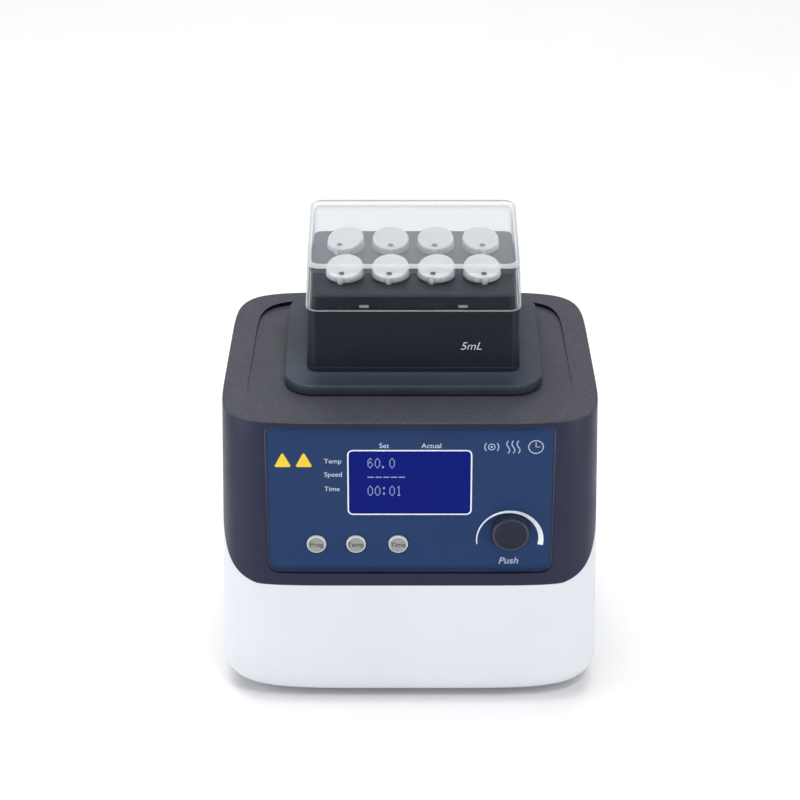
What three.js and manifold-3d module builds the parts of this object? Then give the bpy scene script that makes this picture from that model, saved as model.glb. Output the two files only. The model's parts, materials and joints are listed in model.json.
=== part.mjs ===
// A heated orbital shaker for eight 5 mL snap-cap tubes, in millimetres.
// +Z is up, the control panel faces -Y, and the feet stand on z = 0.
import * as THREE from 'three';
import { mergeVertices } from 'three/addons/utils/BufferGeometryUtils.js';
import Module from 'manifold-3d';

const wasm = await Module();
wasm.setup();

// ---- Driving dimensions -------------------------------------------------------------------
const GAP = 0.3; // between pieces that touch

// Housing
const BODY_WIDTH = 224.6; // at the deck
const BODY_DEPTH = 168; // at the deck
const DECK_Z = 196;
const FOOT_HEIGHT = 3;
const WIDTH_DRAFT = 0.00017; // share of the width gained per mm below the deck
const DEPTH_DRAFT = 0.0001; // share of the depth gained per mm below the deck
const BACK_TAPER = 0.05; // share of the width lost from front to back
const PLAN_POWER = 7; // exponent of the superellipse plan
const WALL = 3;
const ROOF = 5;
const LIP_Z = 85.2; // parting line at the front
const PARTING_Z = 122.7; // parting line along the sides and back
const BASE_EDGE = 18; // radius of the base's bottom edge
const DECK_EDGE = 2;
const BEYOND = 200; // further out than any piece

// Front panel
const PANEL = { width: 167.6, height: 97.2, z: 142.8, face: -82, thickness: 2, corner: 3 };
const DISPLAY = { width: 71.4, height: 42.4, z: 154.8 };
const BUTTON_RADIUS = 5.8;
const BUTTON_Z = 112.6;
const BUTTON_X = { prog: -55.5, temp: -32, time: -7 };
const KNOB = { x: 59.5, z: 122, radius: 11.2, height: 4.5, gap: 1 };
const BOARD_DEPTH = 11; // from the panel's face to the control board

// Drive and platform; heights count from the bearing plate's underside or from the deck
const DRIVE_Y = 9; // the drive axis stands at x = 0
const ORBIT = 2; // eccentricity: the platform is parked to the right
const SHAFT_RADIUS = 4;
const PIN_RADIUS = 4.7;
const FRAME_Z = DECK_Z - 36; // underside of the bearing plate
const FRAME_THICKNESS = 6;
const IDLER = { x: 46, y: 31, radius: 4 };
const PLATFORM = { width: 114, depth: 84, thickness: 6 };
const MOTOR = { radius: 28, height: 48, shell: 4 };

// Skirt, block and lid, all on the platform's centre; heights count from the deck
const SKIRT = { width: 153, depth: 120.6, corner: 18, bottom: 1, edge: 6, top: 9 };
const HEATER = { width: 110, depth: 80 };
const BLOCK = { width: 126.5, depth: 94, corner: 7, bottom: 9.3, rim: 48.5 };
const INSERT = { width: 120.5, depth: 87, corner: 5, top: 58 };
const LID = { bottom: 48.8, top: 78.5, wall: 2, roof: 2.5 };

// Tubes; heights count from the deck
const PITCH_X = 27;
const PITCH_Y = 38;
const TUBE = { radius: 8.3, capRadius: 11.2, capBottom: 58.8, capTop: 68, cone: 30, tip: 16 };

// Back
const REAR = { width: 144, bottom: 24, top: 102, face: 81.5, wall: 3.2 };
const FAN = { x: -33, z: 62, size: 60, bore: 28, front: 63, depth: 15 };
const INLET = { x: 38, socketZ: 48, flangeZ: 54 };
const SWITCH = { x: 38, z: 88, tilt: 8 };

// ---- Solids -------------------------------------------------------------------------------
function solid(geometry) {
  const bare = geometry.clone();
  bare.deleteAttribute('normal');
  bare.deleteAttribute('uv');
  const merged = mergeVertices(bare, 1e-4);
  return new wasm.Manifold(new wasm.Mesh({
    numProp: 3,
    vertProperties: merged.attributes.position.array,
    triVerts: new Uint32Array(merged.index.array),
  }));
}

function geometryOf(body) {
  const mesh = body.getMesh();
  const geometry = new THREE.BufferGeometry();
  geometry.setAttribute('position', new THREE.BufferAttribute(mesh.vertProperties, 3));
  geometry.setIndex(new THREE.BufferAttribute(mesh.triVerts, 1));
  geometry.computeVertexNormals();
  return geometry;
}

const join = (...bodies) => bodies.reduce((all, body) => all.add(body));
const cut = (body, ...tools) => tools.reduce((rest, tool) => rest.subtract(tool), body);

function box(width, depth, height, x, y, bottom) {
  const geometry = new THREE.BoxGeometry(width, depth, height);
  return solid(geometry.translate(x, y, bottom + height / 2));
}

// A box given by its lowest and highest corners.
function block(low, high) {
  const [w, d, h] = high.map((value, i) => value - low[i]);
  return box(w, d, h, (low[0] + high[0]) / 2, (low[1] + high[1]) / 2, low[2]);
}

// An upright cylinder or cone.
function rod(radius, bottom, top, x = 0, y = 0, sides = 20, topRadius = radius) {
  const geometry = new THREE.CylinderGeometry(topRadius, radius, top - bottom, sides);
  return solid(geometry.rotateX(Math.PI / 2).translate(x, y, (bottom + top) / 2));
}

// A cylinder along Y.
function rodY(radius, front, back, x, z, sides = 20) {
  const geometry = new THREE.CylinderGeometry(radius, radius, back - front, sides);
  return solid(geometry.translate(x, (front + back) / 2, z));
}

// Rings about the Y axis and about the Z axis.
const ringY = (outer, inner, front, back, sides) => cut(
  rodY(outer, front, back, 0, 0, sides),
  rodY(inner, front - 1, back + 1, 0, 0, sides),
);

const ring = (outer, inner, bottom, top, sides) => cut(
  rod(outer, bottom, top, 0, 0, sides),
  rod(inner, bottom - 1, top + 1, 0, 0, sides),
);

function roundedRectangle(width, height, radius) {
  const x = width / 2;
  const y = height / 2;
  const shape = new THREE.Shape();
  shape.absarc(x - radius, y - radius, radius, 0, Math.PI / 2);
  shape.absarc(radius - x, y - radius, radius, Math.PI / 2, Math.PI);
  shape.absarc(radius - x, radius - y, radius, Math.PI, 1.5 * Math.PI);
  shape.absarc(x - radius, radius - y, radius, 1.5 * Math.PI, 2 * Math.PI);
  return shape;
}

// An upright prism of a rounded rectangle.
function slab(width, depth, radius, bottom, top, x = 0, y = 0) {
  const shape = roundedRectangle(width, depth, radius);
  const geometry = new THREE.ExtrudeGeometry(shape, {
    depth: top - bottom, bevelEnabled: false, curveSegments: 3,
  });
  return solid(geometry.translate(x, y, bottom));
}

// A prism of a rounded rectangle along Y.
function slabY(width, height, radius, front, back, x, z) {
  const shape = roundedRectangle(width, height, radius);
  const geometry = new THREE.ExtrudeGeometry(shape, {
    depth: back - front, bevelEnabled: false, curveSegments: 3,
  });
  return solid(geometry.rotateX(Math.PI / 2).translate(x, back, z));
}

// A closed solid through rounded rectangles stacked upwards: rows of [width, depth, radius, z].
function tower(levels) {
  const rings = levels.map(([width, depth, radius, z]) => {
    const points = roundedRectangle(width, depth, radius).getPoints(3);
    const open = points.filter((p, i) => i === 0 || p.distanceTo(points[i - 1]) > 1e-6);
    return open.slice(0, -1).map((p) => new THREE.Vector3(p.x, p.y, z));
  });
  const count = rings[0].length;
  const centre = (z) => new THREE.Vector3(0, 0, z);
  const points = [...rings.flat(), centre(levels[0][3]), centre(levels.at(-1)[3])];
  const foot = points.length - 2;
  const faces = [];
  for (let i = 0; i < count; i += 1) {
    const next = (i + 1) % count;
    const last = (rings.length - 1) * count;
    faces.push(foot, next, i, foot + 1, last + i, last + next);
    for (let level = 0; level < last; level += count) {
      faces.push(level + i, level + next, level + count + next);
      faces.push(level + i, level + count + next, level + count + i);
    }
  }
  const geometry = new THREE.BufferGeometry().setFromPoints(points);
  geometry.setIndex(faces);
  return solid(geometry);
}

// Turns an extrusion drawn in y and z to run along x.
const ALONG_X = new THREE.Matrix4().makeBasis(
  new THREE.Vector3(0, 1, 0),
  new THREE.Vector3(0, 0, 1),
  new THREE.Vector3(1, 0, 0),
);

// ---- Housing ------------------------------------------------------------------------------
function superellipse(halfX, halfY, count = 40) {
  const along = (value) => Math.sign(value) * Math.abs(value) ** (2 / PLAN_POWER);
  const points = [];
  for (let i = 0; i < count; i += 1) {
    const angle = ((i + 0.5) / count) * 2 * Math.PI;
    points.push(new THREE.Vector2(halfX * along(Math.cos(angle)), halfY * along(Math.sin(angle))));
  }
  return new THREE.Shape(points);
}

// The housing is wider at the floor than at the deck and narrower at the back than at the front.
function draft(geometry) {
  const at = geometry.attributes.position;
  for (let i = 0; i < at.count; i += 1) {
    const drop = DECK_Z - at.getZ(i);
    const behind = at.getY(i) / BODY_DEPTH + 0.5;
    at.setX(i, at.getX(i) * (1 + WIDTH_DRAFT * drop) * (1 - BACK_TAPER * behind));
    at.setY(i, at.getY(i) * (1 + DEPTH_DRAFT * drop));
  }
  return geometry;
}

function bodyBlank(bottom, top, edge, inset = 0) {
  const shape = superellipse(BODY_WIDTH / 2 - inset, BODY_DEPTH / 2 - inset);
  const geometry = new THREE.ExtrudeGeometry(shape, {
    depth: top - bottom - 2 * edge,
    bevelThickness: edge,
    bevelSize: edge,
    bevelOffset: -edge,
    bevelSegments: 5,
  });
  return solid(draft(geometry.translate(0, 0, bottom + edge)));
}

// All that lies above (or below) the parting surface, which climbs from the front lip to the sides.
function besideParting(shift, farZ) {
  const [low, high] = [LIP_Z + shift, PARTING_Z + shift];
  const curve = new THREE.Shape();
  curve.moveTo(-BEYOND, low);
  curve.lineTo(-82, low);
  curve.bezierCurveTo(-61, low + 25, -55, high, -37, high);
  curve.lineTo(BEYOND, high);
  curve.lineTo(BEYOND, farZ);
  curve.lineTo(-BEYOND, farZ);
  const geometry = new THREE.ExtrudeGeometry(curve, {
    depth: 2 * BEYOND, bevelEnabled: false, curveSegments: 7,
  });
  return solid(geometry.applyMatrix4(ALONG_X).translate(-BEYOND, 0, 0));
}

const FEET = [[-80, -52], [80, -52], [-80, 52], [80, 52]];
const SCREWS = [[-88, -28], [88, -28], [-84, 34], [84, 34]];
const CHASSIS_FIXINGS = [[-70, -44], [70, -44], [-70, 52], [70, 52]];
const BOSS_TOP = 22;
const CHASSIS = { width: 152, depth: 112, bottom: 15.3, thickness: 3 };
const CHASSIS_TOP = CHASSIS.bottom + CHASSIS.thickness;

function baseShell() {
  const outer = bodyBlank(FOOT_HEIGHT, 170, BASE_EDGE);
  const inner = bodyBlank(FOOT_HEIGHT + WALL, 180, BASE_EDGE - WALL, WALL);
  const margin = 4;
  const linerX = REAR.width / 2 + margin;
  const liner = outer.intersect(block(
    [-linerX, REAR.face - REAR.wall, REAR.bottom - margin],
    [linerX, BEYOND, REAR.top + margin],
  ));
  const floor = FOOT_HEIGHT + WALL - 1;
  const bosses = [
    ...SCREWS.map(([x, y]) => rod(7, floor, BOSS_TOP, x, y, 12)),
    ...CHASSIS_FIXINGS.map(([x, y]) => rod(5, floor, CHASSIS.bottom - GAP, x, y, 8)),
  ];
  const holes = [
    ...SCREWS.map(([x, y]) => rod(2, 9, BOSS_TOP + 1, x, y, 8)),
    ...SCREWS.map(([x, y]) => rod(4.2, 0, 10, x, y, 12)),
    ...FEET.map(([x, y]) => rod(3.4, 0, 10, x, y, 8)),
    slabY(REAR.width, REAR.top - REAR.bottom, 5, REAR.face, BEYOND, 0, (REAR.top + REAR.bottom) / 2),
    rodY(FAN.bore + 0.5, 70, BEYOND, FAN.x, FAN.z, 24),
    block([INLET.x - 14, 70, 37], [INLET.x + 14, BEYOND, 71]),
    block([SWITCH.x - 9.5, 70, SWITCH.z - 6.5], [SWITCH.x + 9.5, BEYOND, SWITCH.z + 6.5]),
  ];
  for (let i = -2; i <= 2; i += 1) {
    holes.push(box(4, 36, 10, i * 13, -30, 0)); // air slots in the floor
  }
  const shell = join(cut(outer, inner), liner, ...bosses);
  return cut(shell, ...holes, besideParting(-0.2, 220));
}

const BOARD = { width: 170, height: 92, thickness: 1.6, y: PANEL.face + BOARD_DEPTH };
const BOARD_FIXINGS = [[-81.5, -42], [81.5, -42], [-81.5, 41], [81.5, 41]];
const PANEL_SEAT = PANEL.face + PANEL.thickness + GAP;

function topShell() {
  const outer = bodyBlank(40, DECK_Z, DECK_EDGE);
  const inner = bodyBlank(30, DECK_Z - ROOF, DECK_EDGE, WALL);
  const linerX = PANEL.width / 2 + 3;
  const liner = outer.intersect(block(
    [-linerX, -BEYOND, PANEL.z - PANEL.height / 2 - 4],
    [linerX, PANEL_SEAT + 2.7, DECK_Z - 3],
  ));
  const posts = SCREWS.map(([x, y]) => rod(5, BOSS_TOP + GAP, DECK_Z - ROOF + 1, x, y, 10));
  const screwHoles = SCREWS.map(([x, y]) => rod(1.9, BOSS_TOP - 1, 42, x, y, 8));
  const boardBosses = BOARD_FIXINGS.map(
    ([x, dz]) => rodY(3, PANEL_SEAT + 2, BOARD.y - GAP, x, PANEL.z + dz, 8),
  );
  const fall = Math.atan(2 / 142); // the deck tray sinks towards the back
  const tray = new THREE.ExtrudeGeometry(superellipse(97.5, 72), { depth: 10, bevelEnabled: false });
  tray.rotateX(-fall).translate(0, 0.75, DECK_Z - 1.2);
  const panelHole = slabY(PANEL.width + 2 * GAP, PANEL.height + 2 * GAP, PANEL.corner + GAP,
    -BEYOND, PANEL_SEAT, 0, PANEL.z);
  const window = slabY(156, 86, 4, -BEYOND, -70, 0, PANEL.z);
  const travel = 2 * (ORBIT + 2);
  const opening = slab(PLATFORM.width + travel, PLATFORM.depth + travel, 6,
    DECK_Z - 10, DECK_Z + 10, 0, DRIVE_Y);
  const cover = cut(join(cut(outer, inner), liner), besideParting(0.2, 0));
  return cut(
    join(cover, ...posts, ...boardBosses),
    solid(draft(tray)), panelHole, window, opening, ...screwHoles,
  );
}

// A solid of revolution about Z from rows of [radius, z], upwards on its outside.
function lathe(profile, sides) {
  const points = profile.map(([radius, z]) => new THREE.Vector2(radius, z));
  return new THREE.LatheGeometry(points, sides).rotateX(Math.PI / 2);
}

function foot() {
  const top = FOOT_HEIGHT - GAP;
  return lathe([[0, 0], [8, 0], [9, 1], [9, top], [2.9, top], [2.9, 8], [0, 8]], 16);
}

function baseScrew() {
  return lathe([[0, 4.5], [3.8, 4.5], [3.8, 9.5], [1.6, 9.5], [1.6, 38], [0, 40]], 8);
}

// ---- Front panel and controls -------------------------------------------------------------
function frontPanel() {
  const back = PANEL.face + PANEL.thickness;
  const plate = slabY(PANEL.width, PANEL.height, PANEL.corner, PANEL.face, back, 0, PANEL.z);
  const through = [-BEYOND, 0];
  const window = slabY(DISPLAY.width + 2 * GAP, DISPLAY.height + 2 * GAP, 2.3, ...through, 0, DISPLAY.z);
  const keys = Object.values(BUTTON_X).map(
    (x) => rodY(BUTTON_RADIUS + 0.4, ...through, x, BUTTON_Z, 20),
  );
  return cut(plate, window, ...keys, rodY(4.2, ...through, KNOB.x, KNOB.z, 16));
}

// The display, keys and encoder are built with the panel's face as y = 0 and their own centre as
// x = z = 0.
const BOARD_FRONT = BOARD_DEPTH - GAP;

function displayGlass() {
  return slabY(DISPLAY.width, DISPLAY.height, 2, 0.2, PANEL.thickness, 0, 0);
}

function displayModule() {
  return join(
    slabY(80, 54, 1, PANEL.thickness + GAP, 9, 0, 0),
    block([-38, 8, -24], [38, BOARD_FRONT, 24]),
  );
}

function button() {
  return join(
    rodY(BUTTON_RADIUS, -2.2, 3, 0, 0, 20),
    rodY(7.2, 2.4, 3.4, 0, 0, 20),
    rodY(1.6, 3.2, 7.2, 0, 0, 8),
  );
}

function tactSwitch() {
  const front = 7.5;
  return cut(
    block([-3.1, front, -3.1], [3.1, BOARD_FRONT, 3.1]),
    rodY(2, front - 1, front + 1.6, 0, 0, 8),
  );
}

function encoderBody() {
  return cut(
    join(block([-7, 5, -7], [7, BOARD_FRONT, 7]), rodY(3.9, -0.4, 6, 0, 0, 12)),
    rodY(3.3, -2, 12, 0, 0, 12),
  );
}

// The knob stands on its back with its axis along Z, and is turned to face the user when placed.
function knob() {
  const { radius, height } = KNOB;
  const profile = [[0, 0], [radius, 0], [radius, height - 1.2], [radius - 0.35, height - 0.4],
    [radius - 1.2, height], [0, height]];
  return cut(solid(lathe(profile, 32)), rod(3.2, -1, height - 1.6, 0, 0, 12));
}

// ---- Drive: everything stands on the drive axis ---------------------------------------------
const idlerPlaces = [[-1, -1], [1, -1], [-1, 1], [1, 1]].map(([i, j]) => [i * IDLER.x, j * IDLER.y]);
const FRAME_TOP = FRAME_Z + FRAME_THICKNESS;
const PLATFORM_Z = DECK_Z - PLATFORM.thickness;

function driveFrame() {
  const legs = [[-66, -47], [66, -47], [-66, 41], [66, 41]];
  const plate = slab(150, 106, 8, FRAME_Z, FRAME_TOP, 0, -1);
  const top = join(plate, ...legs.map(([x, y]) => rod(6, CHASSIS_TOP + GAP, FRAME_Z + 1, x, y, 10)));
  const idlerHoles = idlerPlaces.map(([x, y]) => rod(IDLER.radius + GAP, 0, BEYOND, x, y, 12));
  return cut(top, rod(11, 0, BEYOND, 0, 0, 20), ...idlerHoles);
}

function chassisPlate() {
  return slab(CHASSIS.width, CHASSIS.depth, 6, CHASSIS.bottom, CHASSIS_TOP);
}

function motorBody() {
  const { radius, height, shell } = MOTOR;
  const top = FRAME_Z - GAP;
  return cut(
    rod(radius, top - height, top, 0, 0, 20),
    rod(radius - shell, top - height + shell, top - shell, 0, 0, 20),
    rod(SHAFT_RADIUS + 0.6, 0, BEYOND, 0, 0, 12),
  );
}

function motorRotor() {
  return ring(23, SHAFT_RADIUS + GAP, FRAME_Z - MOTOR.height + 8, FRAME_Z - 8, 16);
}

function driveShaft() {
  return join(
    rod(SHAFT_RADIUS, FRAME_Z - MOTOR.height - 4, FRAME_TOP + 13, 0, 0, 12),
    rod(PIN_RADIUS, FRAME_TOP + 12, DECK_Z - 2, ORBIT, 0, 16),
  );
}

function counterweight() {
  const [bottom, top] = [FRAME_TOP + 3, FRAME_TOP + 11];
  const half = block([-40, -40, bottom - 1], [0, 40, top + 1]);
  return cut(
    join(rod(34, bottom, top, 0, 0, 24).intersect(half), rod(9, bottom, top, 0, 0, 16)),
    rod(SHAFT_RADIUS + GAP, 0, BEYOND, 0, 0, 12),
  );
}

function idlerCrank() {
  const { radius } = IDLER;
  return join(
    rod(radius, FRAME_Z - 4, FRAME_TOP + 2, 0, 0, 12),
    rod(9, FRAME_TOP + 0.4, FRAME_TOP + 6, 0, 0, 14),
    rod(radius, FRAME_TOP + 5, DECK_Z - 1.5, ORBIT, 0, 12),
  );
}

// ---- Platform, block, tubes and lid: everything stands on the platform's centre -------------
function shakerPlatform() {
  const plate = slab(PLATFORM.width, PLATFORM.depth, 5, PLATFORM_Z, DECK_Z);
  const hub = rod(18, PLATFORM_Z - 9, PLATFORM_Z + 1, 0, 0, 20);
  const holes = idlerPlaces.map(([x, y]) => rod(IDLER.radius + GAP, 0, DECK_Z - 1, x, y, 12));
  return cut(join(plate, hub), rod(13, 0, PLATFORM_Z + 1.6, 0, 0, 20), rod(6, 0, DECK_Z - 1.4), ...holes);
}

function heaterPad() {
  return slab(HEATER.width - 2, HEATER.depth - 2, 4, DECK_Z + GAP, DECK_Z + 1.5);
}

function heatingPlate() {
  return slab(HEATER.width, HEATER.depth, 4, DECK_Z + 1.8, DECK_Z + SKIRT.top);
}

function platformSkirt() {
  const { width, depth, corner, bottom, edge, top } = SKIRT;
  const step = (inset, radius, z) => [width - inset, depth - inset, radius, DECK_Z + z];
  const body = tower([
    step(0, corner, bottom),
    step(0.6, corner, edge - 0.6),
    step(1.8, corner - 0.5, edge),
    step(12, corner - 3, edge + 0.7),
    step(21, corner - 5, edge + 1.8),
    [BLOCK.width + 1, BLOCK.depth + 1, BLOCK.corner + 0.5, DECK_Z + top],
  ]);
  return cut(body, slab(HEATER.width + 1, HEATER.depth + 1, 4.5, DECK_Z, DECK_Z + top + 1));
}

function blockHousing() {
  const { width, depth, corner, bottom, rim } = BLOCK;
  return cut(
    slab(width, depth, corner, DECK_Z + bottom, DECK_Z + rim),
    slab(INSERT.width + 2 * GAP, INSERT.depth + 2 * GAP, INSERT.corner + GAP, DECK_Z, 2 * DECK_Z),
  );
}

const tubePlaces = [];
for (const row of [-0.5, 0.5]) {
  for (const column of [-1.5, -0.5, 0.5, 1.5]) {
    tubePlaces.push([column * PITCH_X, row * PITCH_Y]);
  }
}

function tubeBlock() {
  const { width, depth, corner, top } = INSERT;
  const edge = 0.8;
  const body = tower([
    [width, depth, corner, DECK_Z + BLOCK.bottom],
    [width, depth, corner, DECK_Z + top - edge],
    [width - 2 * edge, depth - 2 * edge, corner - edge, DECK_Z + top],
  ]);
  const mouth = TUBE.radius + 0.5;
  const shoulder = DECK_Z + TUBE.cone;
  const well = (x, y) => join(
    rod(mouth, shoulder, DECK_Z + top + 1, x, y, 12),
    rod(2.6, DECK_Z + TUBE.tip - 1, shoulder + 0.01, x, y, 12, mouth),
  );
  return cut(body, ...tubePlaces.map(([x, y]) => well(x, y)));
}

function tube() {
  const { radius, capRadius, capBottom, capTop, cone, tip } = TUBE;
  const collar = capBottom - 0.6;
  const body = lathe([[0, tip], [2, tip], [radius, cone], [radius, collar], [9.8, collar], [9.8, capBottom],
    [capRadius, capBottom], [capRadius, capTop - 0.8], [capRadius - 0.8, capTop], [0, capTop]], 16);
  const tab = block([-2, -capRadius - 1.8, capBottom + 1], [2, 2 - capRadius, capBottom + 3.6]);
  return join(solid(body), tab).translate([0, 0, DECK_Z]);
}

function lid() {
  const { wall, roof } = LID;
  const [bottom, top] = [DECK_Z + LID.bottom, DECK_Z + LID.top];
  const { width, depth, corner } = BLOCK;
  const step = (inset, radius, z) => [width - inset, depth - inset, radius, z];
  const outer = tower([
    step(0, corner, bottom),
    step(2, corner, top - 3.5),
    step(3.4, corner - 0.5, top - 1.2),
    step(6.6, corner - 2, top),
  ]);
  const inner = tower([
    step(2 * wall, corner - wall, bottom - 1),
    step(2 * wall + 2, corner - wall, top - roof),
  ]);
  const inside = depth / 2 - wall;
  const lugs = [];
  for (const x of [-29, 29]) {
    for (const side of [-1, 1]) {
      lugs.push(box(5.2, 1.2, 1.4, x, side * (inside + 0.1), bottom + 1.2));
    }
  }
  return join(cut(outer, inner), ...lugs);
}

// ---- Power entry and fan, built with the back wall's outside as y = 0 -----------------------
const FLANGE = { front: GAP, back: 2 };

function powerInlet() {
  const { x, socketZ, flangeZ } = INLET;
  const body = join(
    block([x - 13.7, -23, 37.3], [x + 13.7, 1, 70.7]),
    slabY(34, 40, 3, FLANGE.front, FLANGE.back, x, flangeZ),
  );
  const socket = slabY(23, 16, 3, -14, 10, x, socketZ);
  const drawer = block([x - 10, -25, 62.7], [x + 10, 10, 68.7]);
  const pins = [[-7, 1.5], [0, -1.5], [7, 1.5]].map(([dx, dz]) => block(
    [x + dx - 1, -15, socketZ + dz - 2], [x + dx + 1, -6, socketZ + dz + 2],
  ));
  return join(cut(body, socket, drawer), ...pins);
}

function fuseDrawer() {
  const { x } = INLET;
  return join(
    block([x - 9.7, -21, 63], [x + 9.7, 2.4, 68.4]),
    block([x - 11, FLANGE.back + GAP, 62], [x + 11, 3.6, 69.6]),
  );
}

function switchHousing() {
  const { x, z } = SWITCH;
  return cut(
    join(
      block([x - 9.2, -15, z - 6.2], [x + 9.2, 0.5, z + 6.2]),
      slabY(23, 17, 2, FLANGE.front, FLANGE.back, x, z),
    ),
    block([x - 7.8, -11, z - 5.2], [x + 7.8, 10, z + 5.2]),
  );
}

// The rocker is built on its pivot: a wide V whose low side is pressed in.
function rocker() {
  const side = new THREE.Shape([[2.2, -4.6], [4.6, -4.2], [3.6, 0], [4.6, 4.2], [2.2, 4.6], [-4, 4.2],
    [-4, -4.2]].map(([y, z]) => new THREE.Vector2(y, z)));
  const width = 15;
  const geometry = new THREE.ExtrudeGeometry(side, { depth: width, bevelEnabled: false });
  return geometry.applyMatrix4(ALONG_X).translate(-width / 2, 0, 0);
}

// The fan is built on its own axis.
const FAN_BACK = FAN.front + FAN.depth;

function spoke(from, to, thickness, height, y, turn, pitch = 0) {
  const bar = new THREE.BoxGeometry(to - from, thickness, height).rotateX(pitch);
  return solid(bar.translate((from + to) / 2, y, 0).rotateY(turn));
}

const turns = (count) => Array.from({ length: count }, (_, i) => (i * 2 * Math.PI) / count);

function fanFrame() {
  const { size, bore, front } = FAN;
  const frame = cut(
    slabY(size, size, 4, front, FAN_BACK, 0, 0),
    rodY(bore, front - 1, FAN_BACK + 1, 0, 0, 24),
  );
  const spider = turns(3).map((turn) => spoke(0, bore + 1, 1.5, 3, front + 0.75, turn));
  return join(frame, ...spider, rodY(9, front, front + 1.5, 0, 0, 16));
}

function fanRotor() {
  const { bore, front } = FAN;
  const middle = (front + FAN_BACK) / 2 + 1;
  const blades = turns(7).map((turn) => spoke(9.5, bore - 1.5, 1.2, 10, middle, turn, 0.9));
  return join(rodY(11, front + 2, FAN_BACK - 1.5, 0, 0, 16), ...blades);
}

function fanGuard() {
  const [front, back] = [REAR.face + GAP, REAR.face + 1.7];
  const bars = turns(4).map((turn) => spoke(0, 31, 1.4, 2, (front + back) / 2, turn));
  const rings = [31.5, 21, 11].map((radius) => ringY(radius, radius - 2, front, back, 20));
  return join(...rings, ...bars);
}

function powerSupply() {
  const board = [24, 25.6];
  const part = (x0, x1, y0, y1, top) => block([x0, y0, 25], [x1, y1, top]);
  const pillars = [[-50, -34], [50, -34], [-50, 38], [50, 38]].map(
    ([x, y]) => rod(3, CHASSIS_TOP + GAP, 25, x, y, 6),
  );
  return join(
    block([-56, -40, board[0]], [56, 44, board[1]]), ...pillars,
    part(-44, -8, -26, 8, 55), // transformer
    part(8, 12, -30, 36, 50), // heat sink
    part(-40, -14, 18, 36, 42), // filter choke
    rod(9, 25, 56, 32, -18, 10),
    rod(9, 25, 56, 32, 4, 10),
  );
}

// ---- Colours and assembly -------------------------------------------------------------------
const material = (color, roughness, metalness = 0) => new THREE.MeshStandardMaterial(
  { color, roughness, metalness },
);
const WHITE_PLASTIC = material(0xe6e9ee, 0.4);
const DARK_PLASTIC = material(0x3c3f4c, 0.45);
const DECK_PLASTIC = material(0x464a52, 0.6);
const PANEL_BLUE = material(0x2e4168, 0.5);
const GLASS_BLUE = material(0x132079, 0.15);
const KEY_GREY = material(0xaeb1b0, 0.6);
const BLACK_PLASTIC = material(0x202228, 0.6);
const ANODISED = material(0x2e3238, 0.4, 0.6);
const CLEAR = material(0xeef1f4, 0.05);
const FROSTED = material(0xdfe4ea, 0.6);
const ALUMINIUM = material(0xb8bcc0, 0.35, 0.9);
const STEEL = material(0xc4c6c8, 0.3, 1);
const RUBBER = material(0x1c1c1e, 0.9);
const BOARD_GREEN = material(0x1f5a3a, 0.7);
const HEATER_ORANGE = material(0xb5652a, 0.6);

const assembly = new THREE.Group();

function add(parent, name, shape, look, position = [0, 0, 0]) {
  const geometry = shape.isBufferGeometry ? shape : geometryOf(shape);
  const mesh = new THREE.Mesh(geometry, look);
  mesh.name = name;
  mesh.position.set(...position);
  parent.add(mesh);
  return mesh;
}

function group(parent, x, y, z) {
  const made = new THREE.Group();
  made.position.set(x, y, z);
  parent.add(made);
  return made;
}

// Housing
add(assembly, 'base_shell', baseShell(), WHITE_PLASTIC);
add(assembly, 'top_shell', topShell(), DARK_PLASTIC);
FEET.forEach(([x, y], i) => add(assembly, `foot_${i + 1}`, foot(), RUBBER, [x, y, 0]));
SCREWS.forEach(([x, y], i) => add(assembly, `base_screw_${i + 1}`, baseScrew(), STEEL, [x, y, 0]));

// Controls
add(assembly, 'front_panel', frontPanel(), PANEL_BLUE);
add(assembly, 'control_pcb', block(
  [-BOARD.width / 2, BOARD.y, PANEL.z - BOARD.height / 2],
  [BOARD.width / 2, BOARD.y + BOARD.thickness, PANEL.z + BOARD.height / 2],
), BOARD_GREEN);
const display = group(assembly, 0, PANEL.face, DISPLAY.z);
add(display, 'lcd_glass', displayGlass(), GLASS_BLUE);
add(display, 'lcd_module', displayModule(), BLACK_PLASTIC);
for (const [name, x] of Object.entries(BUTTON_X)) {
  const key = group(assembly, x, PANEL.face, BUTTON_Z);
  add(key, `button_${name}`, button(), KEY_GREY);
  add(key, `switch_${name}`, tactSwitch(), BLACK_PLASTIC);
}
const encoder = group(assembly, KNOB.x, PANEL.face, KNOB.z);
add(encoder, 'encoder_body', encoderBody(), ALUMINIUM);
add(encoder, 'encoder_shaft', rodY(2.9, -3.4, 7.4, 0, 0, 12), STEEL);
add(encoder, 'encoder_push_plate', rodY(2.9, 7.8, 9, 0, 0, 12), STEEL);
add(encoder, 'knob', knob(), BLACK_PLASTIC, [0, -KNOB.gap, 0]).rotation.x = Math.PI / 2;

// Drive
const drive = group(assembly, 0, DRIVE_Y, 0);
add(assembly, 'chassis_plate', chassisPlate(), ALUMINIUM, [0, 4, 0]);
add(assembly, 'power_supply', powerSupply(), BOARD_GREEN);
add(drive, 'drive_frame', driveFrame(), ALUMINIUM);
add(drive, 'motor_body', motorBody(), ALUMINIUM);
add(drive, 'shaft_bearing', ring(10.7, SHAFT_RADIUS + GAP, FRAME_Z + 0.5, FRAME_TOP - 0.5, 16), STEEL);
add(drive, 'motor_rotor', motorRotor(), BLACK_PLASTIC);
add(drive, 'drive_shaft', driveShaft(), STEEL);
add(drive, 'counterweight', counterweight(), STEEL);
idlerPlaces.forEach(([x, y], i) => add(drive, `idler_crank_${i + 1}`, idlerCrank(), STEEL, [x, y, 0]));

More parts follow.
